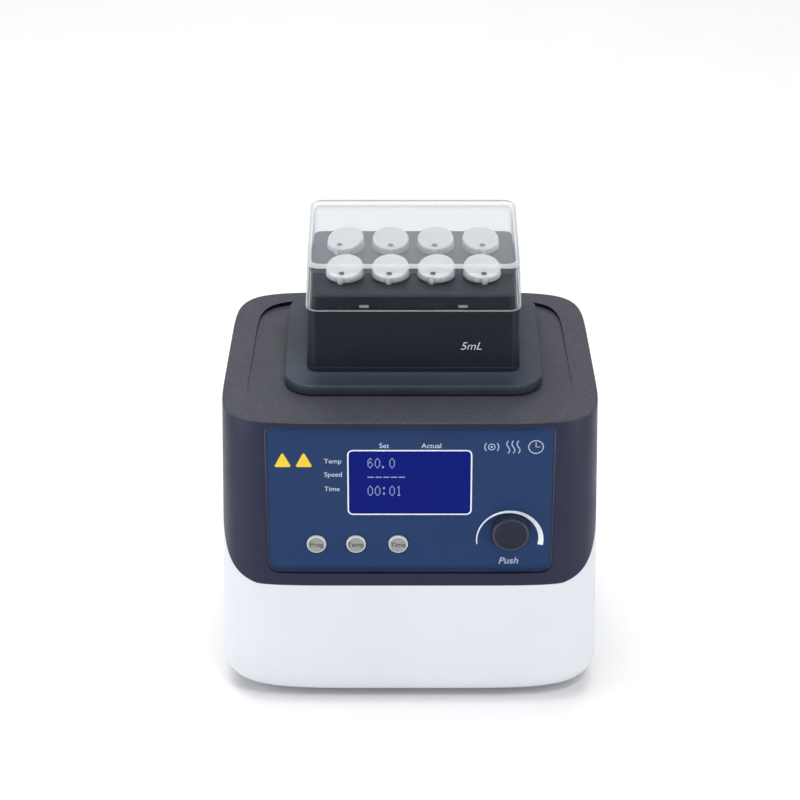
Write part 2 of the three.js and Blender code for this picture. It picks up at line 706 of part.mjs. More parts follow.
// Platform, block, tubes and lid, parked one eccentricity to the right of the drive axis
const platform = group(assembly, ORBIT, DRIVE_Y, 0);
const bearingTop = PLATFORM_Z + 1;
add(platform, 'shaker_platform', shakerPlatform(), ALUMINIUM);
add(platform, 'platform_bearing', ring(12.7, PIN_RADIUS + GAP, bearingTop - 9, bearingTop, 16), STEEL);
add(platform, 'heater_pad', heaterPad(), HEATER_ORANGE);
add(platform, 'heating_plate', heatingPlate(), ALUMINIUM);
add(platform, 'platform_skirt', platformSkirt(), DARK_PLASTIC);
add(platform, 'block_housing', blockHousing(), ANODISED);
add(platform, 'tube_block', tubeBlock(), DECK_PLASTIC);
tubePlaces.forEach(([x, y], i) => add(platform, `tube_${i + 1}`, tube(), FROSTED, [x, y, 0]));
add(platform, 'lid', lid(), CLEAR);

// Back
const rear = group(assembly, 0, REAR.face, 0);
add(rear, 'power_inlet', powerInlet(), BLACK_PLASTIC);
add(rear, 'fuse_drawer', fuseDrawer(), BLACK_PLASTIC);
add(rear, 'switch_housing', switchHousing(), BLACK_PLASTIC);
const rockerMesh = add(rear, 'power_rocker', rocker(), BLACK_PLASTIC, [SWITCH.x, -2, SWITCH.z]);
rockerMesh.rotation.x = THREE.MathUtils.degToRad(-SWITCH.tilt);
const fan = group(assembly, FAN.x, 0, FAN.z);
add(fan, 'fan_frame', fanFrame(), BLACK_PLASTIC);
add(fan, 'fan_rotor', fanRotor(), BLACK_PLASTIC);
add(fan, 'fan_guard', fanGuard(), STEEL);

// The origin lies under the middle of the whole object's box.
const root = new THREE.Group();
root.add(assembly);
const middle = new THREE.Box3().setFromObject(assembly, true).getCenter(new THREE.Vector3());
assembly.position.set(-middle.x, -middle.y, 0);

export default root;
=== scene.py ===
"""The looks of a heated orbital tube shaker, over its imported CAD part.

Sizes are in millimetres, in the part's own frame, until mesh_piece turns them into metres.
"""
import json
import math

import bmesh
import bpy
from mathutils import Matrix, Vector


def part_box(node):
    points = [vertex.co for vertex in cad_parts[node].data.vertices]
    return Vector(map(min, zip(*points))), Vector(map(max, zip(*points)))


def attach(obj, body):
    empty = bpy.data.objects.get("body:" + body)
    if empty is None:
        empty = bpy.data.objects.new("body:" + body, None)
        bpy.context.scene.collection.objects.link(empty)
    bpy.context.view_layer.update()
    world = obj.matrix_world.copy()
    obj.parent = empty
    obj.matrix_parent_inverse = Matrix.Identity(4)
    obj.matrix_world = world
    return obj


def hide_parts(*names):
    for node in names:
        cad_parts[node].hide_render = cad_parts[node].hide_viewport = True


MM = 0.001
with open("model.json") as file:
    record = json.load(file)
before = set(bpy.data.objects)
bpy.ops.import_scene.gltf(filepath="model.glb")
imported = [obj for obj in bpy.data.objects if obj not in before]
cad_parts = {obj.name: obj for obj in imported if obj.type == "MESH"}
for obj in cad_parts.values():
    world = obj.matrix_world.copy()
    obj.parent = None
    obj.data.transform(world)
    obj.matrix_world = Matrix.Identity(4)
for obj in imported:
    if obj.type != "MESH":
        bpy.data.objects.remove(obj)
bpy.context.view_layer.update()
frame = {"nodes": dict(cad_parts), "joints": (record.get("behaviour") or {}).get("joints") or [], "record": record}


def corners(node):
    """A CAD node's lowest and highest corner, in millimetres."""
    low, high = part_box(node)
    return low / MM, high / MM


# ---- Camera and light ----------------------------------------------------------------------
# Distances here are in metres
PITCH = math.radians(29)
DISTANCE = 1.827
TARGET = Vector((-0.0059, 0.001, 0.1648))

camera = bpy.data.objects.new("camera", bpy.data.cameras.new("camera"))
bpy.context.scene.collection.objects.link(camera)
camera.data.lens = 135
camera.data.clip_end = 50
camera.location = TARGET + DISTANCE * Vector((0, -math.cos(PITCH), math.sin(PITCH)))
camera.rotation_euler = (math.radians(90) - PITCH, 0, 0)
bpy.context.scene.camera = camera

LIGHT_AIM = Vector((0, 0, 0.12))
# Name, place, size and power in watts
SOFTBOXES = (
    ("key_softbox", (0.45, -1.1, 1.7), (0.3, 0.3), 11),
    ("overhead_softbox", (-0.2, 0.1, 1.9), (1.7, 1.5), 31),
    ("left_softbox", (-1.15, -1, 0.13), (0.14, 0.24), 6.5),
    ("right_softbox", (1.15, -1, 0.13), (0.14, 0.24), 6),
    ("left_fill", (-1.6, -0.35, 0.6), (0.8, 1.1), 7),
    ("right_fill", (1.6, -0.35, 0.6), (0.8, 1.1), 4),
    ("back_softbox", (0, 2.3, 1.6), (3.2, 1.4), 24),
)
for name, place, size, watts in SOFTBOXES:
    lamp = bpy.data.lights.new(name, "AREA")
    lamp.shape = "RECTANGLE"
    lamp.size, lamp.size_y = size
    lamp.energy = watts
    light = bpy.data.objects.new(name, lamp)
    light.location = place
    light.rotation_euler = (LIGHT_AIM - Vector(place)).to_track_quat("-Z", "Y").to_euler()
    bpy.context.scene.collection.objects.link(light)

world = bpy.data.worlds.new("studio")
world.use_nodes = True
sky = world.node_tree.nodes["Background"]
sky.inputs["Color"].default_value = (0.96, 0.98, 1, 1)
sky.inputs["Strength"].default_value = 0.15
bpy.context.scene.world = world
bpy.context.scene.view_settings.view_transform = "Standard"


# ---- Node materials ------------------------------------------------------------------------
def linear(red, green, blue):
    """A shader colour from the 0 to 255 values of a display."""
    def one(value):
        value /= 255
        return value / 12.92 if value <= 0.04045 else ((value + 0.055) / 1.055) ** 2.4
    return (one(red), one(green), one(blue), 1)


def tinted(colour, factor):
    """A colour made darker or lighter, its alpha kept at 1."""
    return tuple(min(1, channel * factor) for channel in colour[:3]) + (1,)


class Look:
    """A node material built round one Principled shader."""

    def __init__(self, name, **settings):
        self.material = bpy.data.materials.new(name)
        self.material.use_nodes = True
        self.tree = self.material.node_tree
        self.tree.nodes.clear()
        self.output = self.node("OutputMaterial")
        self.shader = self.node("BsdfPrincipled", **settings)
        self.join(self.shader.outputs[0], self.output.inputs[0])
        self.place = self.node("TexCoord").outputs["Object"]

    def node(self, kind, **settings):
        node = self.tree.nodes.new("ShaderNode" + kind)
        for name, value in settings.items():
            node.inputs[name.replace("_", " ")].default_value = value
        return node

    def join(self, source, target):
        self.tree.links.new(source, target)

    def stretched(self, x, y, z):
        """The part's coordinates with each axis scaled."""
        node = self.node("Mapping", Scale=(x, y, z))
        self.join(self.place, node.inputs["Vector"])
        return node.outputs[0]

    def noise(self, scale, detail=4, roughness=0.6, at=None):
        """Noise with features of about 1000 / scale millimetres."""
        node = self.node("TexNoise", Scale=scale, Detail=detail, Roughness=roughness)
        self.join(at or self.place, node.inputs["Vector"])
        return node.outputs["Fac"]

    def spread(self, value, low, high, start=0.3, end=0.7):
        """Maps start..end to low..high, and holds what is outside."""
        node = self.node("MapRange", From_Min=start, From_Max=end, To_Min=low, To_Max=high)
        self.join(value, node.inputs["Value"])
        return node.outputs[0]

    def math(self, operation, a, b):
        node = self.tree.nodes.new("ShaderNodeMath")
        node.operation = operation
        for value, socket in zip((a, b), node.inputs):
            if isinstance(value, (int, float)):
                socket.default_value = value
            else:
                self.join(value, socket)
        return node.outputs[0]

    def blend(self, amount, first, second):
        """A colour from first at 0 to second at 1."""
        node = self.tree.nodes.new("ShaderNodeMix")
        node.data_type = "RGBA"
        self.join(amount, node.inputs[0])
        for value, socket in ((first, node.inputs[6]), (second, node.inputs[7])):
            if isinstance(value, tuple):
                socket.default_value = value
            else:
                self.join(value, socket)
        return node.outputs[2]

    def edge(self):
        """1 on sharp outer edges, 0 on flat and hollow places."""
        face = self.tree.nodes.new("ShaderNodeNewGeometry")
        return self.spread(face.outputs["Pointiness"], 0, 1, 0.53, 0.62)

    def bump(self, height, depth):
        """A normal raised by height, depth millimetres deep."""
        node = self.node("Bump", Strength=1, Distance=depth * MM)
        self.join(height, node.inputs["Height"])
        return node.outputs[0]

    def set(self, **sources):
        """Feeds the shader's inputs."""
        for name, source in sources.items():
            self.join(source, self.shader.inputs[name.replace("_", " ")])


def plastic(name, colour, roughness, grain, depth, patch=0.12, wear=0.25, painted_glints=0, **settings):
    """Moulded plastic: spark-eroded grain, slight mottling, and edges polished by hands.

    grain is in features per metre and depth in millimetres. patch and wear are the strengths of
    the mottling and of the rubbed edges; the last is the strength of painted glints, lighter points
    on the grain's peaks that stand in for its sheen.
    """
    look = Look(name, **settings)
    mottle = look.spread(look.noise(14, 5), 0, 1)
    base = look.blend(mottle, tinted(colour, 1 - patch), tinted(colour, 1 + patch))
    grain_height = look.math("ADD", look.noise(grain, 3), look.noise(grain * 2.7, 2))
    haze = look.spread(look.noise(32, 6, 0.7), roughness - 0.06, roughness + 0.06)
    # Painted glints: lighter points on the grain's peaks, in place of the sheen that light gives the grain
    if painted_glints:
        points = look.spread(look.noise(grain, 2), 0, 1, 0.52, 0.72)
        base = look.blend(points, base, tinted(colour, 1 + painted_glints))
    if wear:
        edge = look.math("MULTIPLY", look.edge(), look.spread(look.noise(60, 3), 0.2, 1))
        rubbed = tuple(channel + (0.9 - channel) * wear * 0.12 for channel in colour[:3]) + (1,)
        base = look.blend(edge, base, rubbed)
        haze = look.math("SUBTRACT", haze, look.math("MULTIPLY", edge, 0.08))
    look.set(Base_Color=base, Roughness=haze, Normal=look.bump(grain_height, depth))
    return look.material


def metal(name, colour, roughness):
    """Metal with fine, level machining lines."""
    look = Look(name, Metallic=1)
    streaks = look.noise(140, 4, 0.6, look.stretched(1, 1, 60))
    look.set(
        Base_Color=look.blend(look.spread(look.noise(45, 5), 0, 1), tinted(colour, 0.8), colour),
        Roughness=look.spread(streaks, roughness - 0.08, roughness + 0.12),
        Normal=look.bump(streaks, 0.01),
    )
    return look.material


WHITE = plastic("white_plastic", linear(208, 211, 217), 0.36, 1500, 0.012, 0.025, 0)
COVER = plastic("dark_plastic", linear(9, 16, 50), 0.44, 1500, 0.01, 0.08, 0, Specular_IOR_Level=0.35)
# A lighter, glossier copy of the dark plastic, for painted highlight lines on the panel trim and the knob's ring
TRIM_HIGHLIGHT = plastic("trim_plastic", linear(44, 46, 60), 0.3, 1500, 0.01, 0.08, 0.3)
# The deck's grained matte top: its colour, much lighter than the dark plastic, is partly its finish and partly
# painted top light, and its grain carries painted glints
DECK_LIT_TOP = plastic("deck_plastic", linear(57, 58, 67), 0.5, 900, 0.3, 0.1, 0, 0.9, Specular_IOR_Level=0.3)
SKIRT = plastic("skirt_plastic", linear(45, 54, 67), 0.5, 1300, 0.03, 0.1, 0.4, Specular_IOR_Level=0.25)
PANEL = plastic("panel_blue", linear(33, 55, 93), 0.45, 1800, 0.008, 0.05, 0, Specular_IOR_Level=0.1)
BLACK = plastic("black_plastic", linear(27, 31, 48), 0.42, 1200, 0.02, 0.12, 0.4, Specular_IOR_Level=0.2)
KEY = plastic("key_grey", linear(138, 138, 133), 0.5, 1600, 0.015, 0.05, 0.5)
KEY_RIM = plastic("key_rim", linear(196, 200, 205), 0.4, 1600, 0.01, 0.04, 0.3)
RUBBER = plastic("rubber", linear(24, 24, 25), 0.8, 900, 0.05, 0.25, 0.2)
BLOCK = plastic("anodised", linear(26, 31, 39), 0.4, 2200, 0.012, 0.1, 0.3, Specular_IOR_Level=0.12)
# Two copies of the insert's plastic: darker for its walls as painted shade, lighter for its top as painted top
# light
INSERT_SHADED_WALLS = plastic("block_wall", linear(10, 17, 26), 0.45, 2200, 0.02, 0.1, 0.5, Specular_IOR_Level=0.08)
INSERT_LIT_TOP = plastic(
    "block_grey", linear(36, 43, 53), 0.45, 2200, 0.02, 0.1, 0.6, Specular_IOR_Level=0.25)
STEEL = metal("steel", linear(190, 192, 195), 0.3)
ALUMINIUM = metal("aluminium", linear(178, 182, 186), 0.42)
BOARD = plastic("board_green", linear(22, 84, 52), 0.45, 400, 0.03, 0.2, 0.2)
SILICONE = plastic("silicone_orange", linear(178, 94, 40), 0.65, 900, 0.03, 0.15, 0.2)
FLOOR = plastic("studio_floor", (0.91, 0.91, 0.91, 1), 0.75, 300, 0.02, 0.01, 0)


def ink(name, colour):
    """Screen-printed ink: nearly flat, with pinholes and a slightly uneven coat."""
    look = Look(name)
    look.set(
        Base_Color=look.blend(look.spread(look.noise(900, 3), 0, 1), tinted(colour, 0.86), colour),
        Roughness=look.spread(look.noise(400, 3), 0.38, 0.52),
        Normal=look.bump(look.noise(2600, 2), 0.006),
    )
    return look.material


PRINT = ink("print_white", linear(226, 232, 240))
PRINT_DARK = ink("print_dark", linear(30, 34, 64))
PRINT_SILVER = ink("print_silver", linear(158, 172, 196))
PRINT_AMBER = ink("print_amber", linear(234, 198, 34))
# A dark grey dot for each cap's dimple: painted shade
CAP_DIMPLE_SHADE = ink("cap_mark", linear(88, 92, 98))
PRINT_PALE = ink("print_pale", linear(192, 202, 218))


def glowing(name, colour):
    """A backlit dot-matrix cell: an even glow with the display's fine grid over it."""
    look = Look(name, Emission_Strength=1, Base_Color=(0.002, 0.003, 0.01, 1), Specular_IOR_Level=0.03)
    grid = look.node(
        "TexBrick", Color1=colour, Color2=tinted(colour, 0.97), Mortar=tinted(colour, 0.9), Scale=1,
        Brick_Width=0.55 * MM, Row_Height=0.62 * MM, Mortar_Size=0.05 * MM,
    )
    grid.offset = 0
    facing_front = look.node("Mapping", Rotation=(math.radians(-90), 0, 0))
    look.join(look.place, facing_front.inputs["Vector"])
    look.join(facing_front.outputs[0], grid.inputs["Vector"])
    uneven = look.spread(look.noise(18, 2), 0.93, 1.04)
    glow = look.blend(uneven, (0, 0, 0, 1), grid.outputs["Color"])
    look.set(Emission_Color=glow, Roughness=look.spread(look.noise(50, 4), 0.08, 0.18))
    return look.material


LCD_BLUE = glowing("display_blue", linear(10, 25, 120))
LCD_LIT = glowing("display_lit", linear(165, 178, 225))


def clear(name, haze, edge_haze, passing, tint, streak):
    """Clear moulded plastic: what is behind shows through, under a mirror and a thin haze.

    haze and edge_haze are shares of the light, seen square on and at a grazing angle; streak is how
    uneven the haze is.
    """
    look = Look(name, Base_Color=tint, Roughness=0.35, Specular_IOR_Level=0.2)
    through = look.node("BsdfTransparent", Color=passing)
    mirror = look.node("BsdfGlossy", Color=(1, 1, 1, 1), Roughness=0.08)
    film = look.spread(look.noise(24, 5, 0.65), haze * (1 - streak), haze * (1 + streak))
    facing = look.node("LayerWeight", Blend=0.5)
    edge = look.math("POWER", facing.outputs["Facing"], 2.6)
    film = look.math("ADD", film, look.math("MULTIPLY", edge, edge_haze))
    glint = look.math("POWER", facing.outputs["Facing"], 4)
    glint = look.math("ADD", look.math("MULTIPLY", glint, 0.25), 0.003)
    look.join(look.bump(look.noise(90, 2), 0.02), mirror.inputs["Normal"])
    hazy = look.tree.nodes.new("ShaderNodeMixShader")
    shiny = look.tree.nodes.new("ShaderNodeMixShader")
    look.join(film, hazy.inputs[0])
    look.join(through.outputs[0], hazy.inputs[1])
    look.join(look.shader.outputs[0], hazy.inputs[2])
    look.join(glint, shiny.inputs[0])
    look.join(hazy.outputs[0], shiny.inputs[1])
    look.join(mirror.outputs[0], shiny.inputs[2])
    look.join(shiny.outputs[0], look.output.inputs[0])
    return look.material


# One clear plastic in four copies: clear for the walls, and hazier, paler ones for the roof as painted sheen and
# for the top edges and the rim as painted highlight lines
LID_WALL = clear("clear_plastic", 0.002, 1, (0.97, 0.975, 0.98, 1), (0.84, 0.88, 0.91, 1), 0.5)
LID_ROOF_SHEEN = clear("clear_plastic_roof", 0.066, 0.1, (0.87, 0.875, 0.88, 1), (0.69, 0.755, 0.83, 1), 0.1)
LID_RIM_HIGHLIGHT = clear("clear_plastic_rim", 0.32, 0.1, (0.93, 0.94, 0.945, 1), (0.6, 0.64, 0.67, 1), 0.08)
LID_EDGE_HIGHLIGHT = clear("clear_plastic_edge", 0.68, 0.1, (0.93, 0.94, 0.945, 1), (0.54, 0.57, 0.59, 1), 0.05)


def frosted(name, colour, grain):
    """Translucent polypropylene: milky, with light passing through its thin walls."""
    look = Look(name, Subsurface_Weight=0.5, Subsurface_Scale=0.004, Subsurface_Radius=(1, 1, 1))
    look.set(
        Base_Color=look.blend(look.spread(look.noise(260, 4), 0, 1), tinted(colour, 0.9), colour),
        Roughness=look.spread(look.noise(300, 3), 0.3, 0.5),
        Normal=look.bump(look.noise(grain, 3), 0.03),
    )
    return look.material


FROSTED = frosted("frosted_plastic", linear(226, 231, 238), 1400)
CAP = frosted("cap_plastic", linear(232, 233, 234), 900)


# ---- Shapes --------------------------------------------------------------------------------
def mesh_piece(name, points, faces, *materials):
    """A mesh object from points in millimetres."""
    mesh = bpy.data.meshes.new(name)
    mesh.from_pydata([Vector(point) * MM for point in points], [], faces)
    mesh.validate()
    for material in materials:
        mesh.materials.append(material)
    piece = bpy.data.objects.new(name, mesh)
    bpy.context.scene.collection.objects.link(piece)
    return piece


def smooth(piece, angle=32):
    """Smooth shading, with edges over an angle in degrees kept sharp."""
    piece.data.shade_smooth()
    piece.data.set_sharp_from_angle(angle=math.radians(angle))
    return piece


def baked(piece):
    """Turns a piece's modifiers into its mesh."""
    graph = bpy.context.evaluated_depsgraph_get()
    old = piece.data
    piece_mesh = bpy.data.meshes.new_from_object(piece.evaluated_get(graph))
    piece.modifiers.clear()
    piece.data = piece_mesh
    bpy.data.meshes.remove(old)
    return piece


def carved(piece, *tools):
    """Cuts the tools out of a piece and removes them."""
    for tool in tools:
        step = piece.modifiers.new(tool.name, "BOOLEAN")
        step.object = tool
        step.operation = "DIFFERENCE"
        step.solver = "EXACT"
    baked(piece)
    for tool in tools:
        old = tool.data
        bpy.data.objects.remove(tool)
        bpy.data.meshes.remove(old)
    return piece


def rounded(piece, width, segments):
    """Rounds a piece's sharp edges to a radius in millimetres."""
    step = piece.modifiers.new("round", "BEVEL")
    step.width = width * MM
    step.segments = segments
    step.limit_method = "ANGLE"
    step.angle_limit = math.radians(40)
    return baked(piece)


def mended(piece):
    """Turns a closed mesh's faces outwards."""
    work = bmesh.new()
    work.from_mesh(piece.data)
    bmesh.ops.recalc_face_normals(work, faces=work.faces)
    work.to_mesh(piece.data)
    work.free()
    return piece


def loft(name, rings, *materials):
    """A skin through rings of equally many points; the ends are closed flat."""
    count = len(rings[0])
    faces = []
    for level in range(len(rings) - 1):
        for i in range(count):
            j = (i + 1) % count
            low, high = level * count, (level + 1) * count
            faces.append((low + i, low + j, high + j, high + i))
    faces.append(tuple(range(count - 1, -1, -1)))
    faces.append(tuple(range((len(rings) - 1) * count, len(rings) * count)))
    return mended(mesh_piece(name, [point for ring in rings for point in ring], faces, *materials))


def oblong(width, depth, radius, steps=8, lower=None):
    """A rounded rectangle, anticlockwise; its two lower corners may have their own radius."""
    points = []
    for quarter, (i, j) in enumerate([(1, 1), (-1, 1), (-1, -1), (1, -1)]):
        r = max(lower if lower and j < 0 else radius, 0.01)
        for step in range(steps + 1):
            angle = math.radians(90) * (quarter + step / steps)
            points.append((
                i * (width / 2 - r) + r * math.cos(angle),
                j * (depth / 2 - r) + r * math.sin(angle),
            ))
    return points


def at_height(points, z, x=0, y=0):
    """Points drawn as seen from above, laid at a height."""
    return [(px + x, py + y, z) for px, py in points]


def at_depth(points, y, x=0, z=0):
    """Points drawn as seen from the front, stood up at a depth."""
    return [(px + x, y, pz + z) for px, pz in points]


def slab(name, width, depth, radius, bottom, top, x=0, y=0, *materials, steps=8):
    """A slab whose broad side faces up."""
    outline = oblong(width, depth, radius, steps)
    return loft(name, [at_height(outline, bottom, x, y), at_height(outline, top, x, y)], *materials)


def plate(name, width, height, radius, front, back, x=0, z=0, *materials, lower=None):
    """A slab whose broad side faces the front."""
    outline = oblong(width, height, radius, lower=lower)
    return loft(name, [at_depth(outline, front, x, z), at_depth(outline, back, x, z)], *materials)


def circle(radius, sides=48, wave=0, teeth=0):
    """A circle whose radius swings by a wave at each of its teeth."""
    points = []
    for i in range(sides):
        angle = 2 * math.pi * i / sides
        r = radius + wave * math.cos(teeth * angle)
        points.append((r * math.cos(angle), r * math.sin(angle)))
    return points


def turned(name, profile, *materials, x=0, y=0, sides=64):
    """A body turned about a vertical axis: rows of (radius, z) or (radius, z, tooth depth)."""
    rings = []
    for radius, z, *wave in profile:
        depth = wave[0] if wave else 0
        rings.append(at_height(circle(radius, sides, depth, sides // 4), z, x, y))
    return loft(name, rings, *materials)


def turned_front(name, profile, *materials, x=0, z=0, sides=64):
    """A body turned about an axis that points to the front: rows of (radius, y)."""
    rings = [at_depth(circle(radius, sides), y, x, z) for radius, y in profile]
    return loft(name, rings, *materials)


def arc(radius, steps):
    """(inset, rise) pairs of a rounded edge, from the flat face to the wall."""
    pairs = []
    for step in range(steps + 1):
        angle = math.radians(90 * step / steps)
        pairs.append((radius * (1 - math.sin(angle)), radius * (1 - math.cos(angle))))
    return pairs


def joined(piece, *others):
    """Makes other pieces part of a piece's mesh."""
    with bpy.context.temp_override(active_object=piece, selected_editable_objects=[piece, *others]):
        bpy.ops.object.join()


def paint(piece, index, test):
    """Gives a material slot to the faces whose middle and normal pass a test."""
    for face in piece.data.polygons:
        if test(face.center / MM, face.normal):
            face.material_index = index


def keep(piece, body, slot, *nodes):
    """Makes a piece part of the model: it rides on a body and may stand for CAD nodes."""
    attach(piece, body)
    if nodes:
        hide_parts(*nodes)


# ---- Housing -------------------------------------------------------------------------------
panel_low, panel_high = corners("front_panel")
panel_middle = (panel_low + panel_high) / 2
PANEL_FRONT = panel_low.y
DECK = corners("top_shell")[1].z
# From the part's origin to the housing's middle
SHIFT_Y = PANEL_FRONT + 82
REAR_FACE = SHIFT_Y + 81.5
# The housing's half sizes at the deck, before its taper
BODY_X, BODY_Y = 224.5 / 2, 167.84 / 2
# A superellipse's power: its corners are tight at 7, and rounder at the bottom
POWER, BOTTOM_POWER, BOTTOM_HEIGHT = 7, 4.8, 20
BOTTOM = 3
# Walls of both shells, and half the seam between them
WALL = 3
SEAM = 0.2
# Growth of the sides per millimetre below the deck, and narrowing from the front to the back
TAPER_X, TAPER_Y, BEHIND = 0.00017, 0.0001, 0.05
BEYOND = 200


def body_ring(z, inset=0):
    """The housing's outline at a height, drawn in by an inset."""
    count = 200
    ring = []
    power = POWER - (POWER - BOTTOM_POWER) * max(0, 1 - (z - BOTTOM) / BOTTOM_HEIGHT)
    drop = DECK - z
    for i in range(count):
        angle = 2 * math.pi * (i + 0.5) / count
        cx, cy = math.cos(angle), math.sin(angle)
        x = math.copysign(abs(cx) ** (2 / power), cx)
        y = math.copysign(abs(cy) ** (2 / power), cy)
        nx = math.copysign(abs(x) ** (power - 1), x) / BODY_X
        ny = math.copysign(abs(y) ** (power - 1), y) / BODY_Y
        length = math.hypot(nx, ny)
        x = x * BODY_X - inset * nx / length
        y = y * BODY_Y - inset * ny / length
        x *= (1 + TAPER_X * drop) * (1 - BEHIND * (y / 168 + 0.5))
        ring.append((x, y * (1 + TAPER_Y * drop) + SHIFT_Y, z))
    return ring


def body(name, bottom, top, low_edge, high_edge, inset, *materials):
    """The housing's form between two heights, its lower and upper edges rounded."""
    rings = [body_ring(bottom + rise, inset + drawn) for drawn, rise in arc(low_edge, 12)]
    levels = 8
    first, last = bottom + low_edge, top - high_edge
    rings += [body_ring(first + (last - first) * i / levels, inset) for i in range(1, levels)]
    rings += [body_ring(top - rise, inset + drawn) for drawn, rise in reversed(arc(high_edge, 6))]
    return loft(name, rings, *materials)


# The parting line's height at the front and at the back, and the (y, rise) control points of the
# curve between
PARTING_FRONT, PARTING_BACK = 85.2, 122.7
RISE = ((-82, 0), (-61, 25), (-55, PARTING_BACK - PARTING_FRONT), (-37, PARTING_BACK - PARTING_FRONT))


def beside_parting(shift, far):
    """A wide solid whose near side is the parting surface between base and cover."""
    low, high = PARTING_FRONT + shift, PARTING_BACK + shift
    curve = [(-BEYOND, low)]
    for step in range(33):
        t = step / 32
        weights = ((1 - t) ** 3, 3 * t * (1 - t) ** 2, 3 * t * t * (1 - t), t ** 3)
        y = sum(weight * end[0] for weight, end in zip(weights, RISE))
        curve.append((y, low + sum(weight * end[1] for weight, end in zip(weights, RISE))))
    curve += [(BEYOND, high), (BEYOND, far), (-BEYOND, far)]
    return loft("parting", [[(x, y + SHIFT_Y, z) for y, z in curve] for x in (-180, 180)])


# Base: a tub, with a recess at the back for the fan, inlet and switch
RECESS_Z = 63
SLOT_PITCH = 13
SCREWS = ((-88, -28), (88, -28), (-84, 34), (84, 34))
tub = body("base_tub", BOTTOM, 170, 18, 2, 0, WHITE)
hollow = body("base_hollow", BOTTOM + WALL, 180, 15, 2, WALL)
carved(hollow, plate("liner", 152, 86, 2, REAR_FACE - 3.2, BEYOND, 0, RECESS_Z))
carved(tub, hollow, beside_parting(-SEAM, 240))
recess = rounded(plate("recess", 144, 78, 5, REAR_FACE, BEYOND, 0, RECESS_Z), 0.8, 3)
carved(tub, recess)
carved(
    tub,
    turned_front("fan_hole", [(28.5, 60), (28.5, 120)], x=-33, z=62),
    plate("inlet_hole", 28, 34, 1, 60, 120, 38, 54),
    plate("switch_hole", 19, 13, 1, 60, 120, 38, 88),
    *(slab("slot", 4, 36, 1.9, 0, 10, i * SLOT_PITCH, -30) for i in range(-2, 3)),
    *(turned("screw_well", [(4.2, 0), (4.2, 10)], x=x, y=y + SHIFT_Y) for x, y in SCREWS),
)
keep(smooth(tub), "housing", "white_plastic", "base_shell")

# Cover: a shell open below, with a sunk tray. Its floor is level with the deck at the front and
# falls to the back; the depth is the one in its middle
TRAY_X, TRAY_Y = 97.5 * 0.999, 72
TRAY_FALL = math.atan(2.4 / 142)
TRAY_DEPTH = 1.2
TRIM_W, TRIM_H, TRIM_CORNER, TRIM_LOWER_CORNER = 169.8, 98.8, 4, 7.5
cover = body("cover", 40, DECK, 2, 1, 0, COVER, DECK_LIT_TOP)
cover_hollow = body("cover_hollow", 30, DECK - 5, 2, 2, WALL)
carved(cover_hollow, plate("cover_liner", 173.6, 107, 2, -BEYOND, PANEL_FRONT + 5, 0, panel_middle.z))
carved(cover, cover_hollow, beside_parting(SEAM, 0))
tray_outline = [(x / BODY_X * TRAY_X, (y - SHIFT_Y) / BODY_Y * TRAY_Y) for x, y, z in body_ring(DECK)]


def tray_level(height):
    """The tray's outline at a height over its floor, tipped with the floor."""
    return [(
        x,
        y * math.cos(TRAY_FALL) + height * math.sin(TRAY_FALL) + 0.75 + SHIFT_Y,
        -y * math.sin(TRAY_FALL) + height * math.cos(TRAY_FALL) + DECK - TRAY_DEPTH,
    ) for x, y in tray_outline]


drive = next(joint for joint in frame["joints"] if joint["name"] == "drive_spin")
drive_x, drive_y = drive["pos_m"][0] / MM, drive["pos_m"][1] / MM
carved(
    cover,
    loft("tray", [tray_level(0), tray_level(10)]),
    plate("panel_seat", TRIM_W, TRIM_H, TRIM_CORNER, -BEYOND, PANEL_FRONT + 2.3, 0, panel_middle.z,
          lower=TRIM_LOWER_CORNER),
    plate("panel_window", 156, 86, 4, -160, -60, 0, panel_middle.z),
    slab("drive_opening", 122, 92, 6, DECK - 20, DECK + 10, drive_x, drive_y),
)
# Upward faces and the rounded top edge get the lighter deck copy: partly the grained finish, partly painted top
# light and a painted highlight line along the front edge
paint(cover, 1, lambda middle, normal: normal.z > 0.3 and middle.z > DECK - 6)
keep(smooth(cover), "housing", "dark_plastic", "top_shell")

# ---- Controls ------------------------------------------------------------------------------
# Panel, with openings for the display, the keys and the knob's shaft
glass_low, glass_high = corners("lcd_glass")
glass = (glass_low + glass_high) / 2
knob_low, knob_high = corners("knob")
knob_middle = (knob_low + knob_high) / 2
key_places = {}
for key in ("prog", "temp", "time"):
    low, high = corners(f"button_{key}")
    key_places[key] = ((low.x + high.x) / 2, (low.z + high.z) / 2)
panel = plate("panel_plate", 167.6, 97.2, 3, PANEL_FRONT, PANEL_FRONT + 2, 0, panel_middle.z, PANEL,
              lower=6.5)
carved(
    panel,
    plate("window", 72, 43, 2.3, -120, -60, glass.x, glass.z),
    *(turned_front("key_hole", [(6.2, -120), (6.2, -60)], x=x, z=z) for x, z in key_places.values()),
    turned_front("knob_hole", [(4.2, -120), (4.2, -60)], x=knob_middle.x, z=knob_middle.z),
)
rounded(panel, 0.25, 2)
keep(smooth(panel), "housing", "panel_blue", "front_panel")

# Trim round the panel, in a lighter, glossier copy of the dark plastic: its edges make a painted highlight line
# round the panel
trim = plate("panel_trim", TRIM_W, TRIM_H, TRIM_CORNER, PANEL_FRONT - 0.5, PANEL_FRONT + 2.2,
             0, panel_middle.z, TRIM_HIGHLIGHT, lower=TRIM_LOWER_CORNER)
carved(trim, plate("trim_opening", 167.8, 97.4, 3.1, -BEYOND, -40, 0, panel_middle.z, lower=6.6))
rounded(trim, 0.35, 3)
keep(smooth(trim), "housing", "dark_plastic")

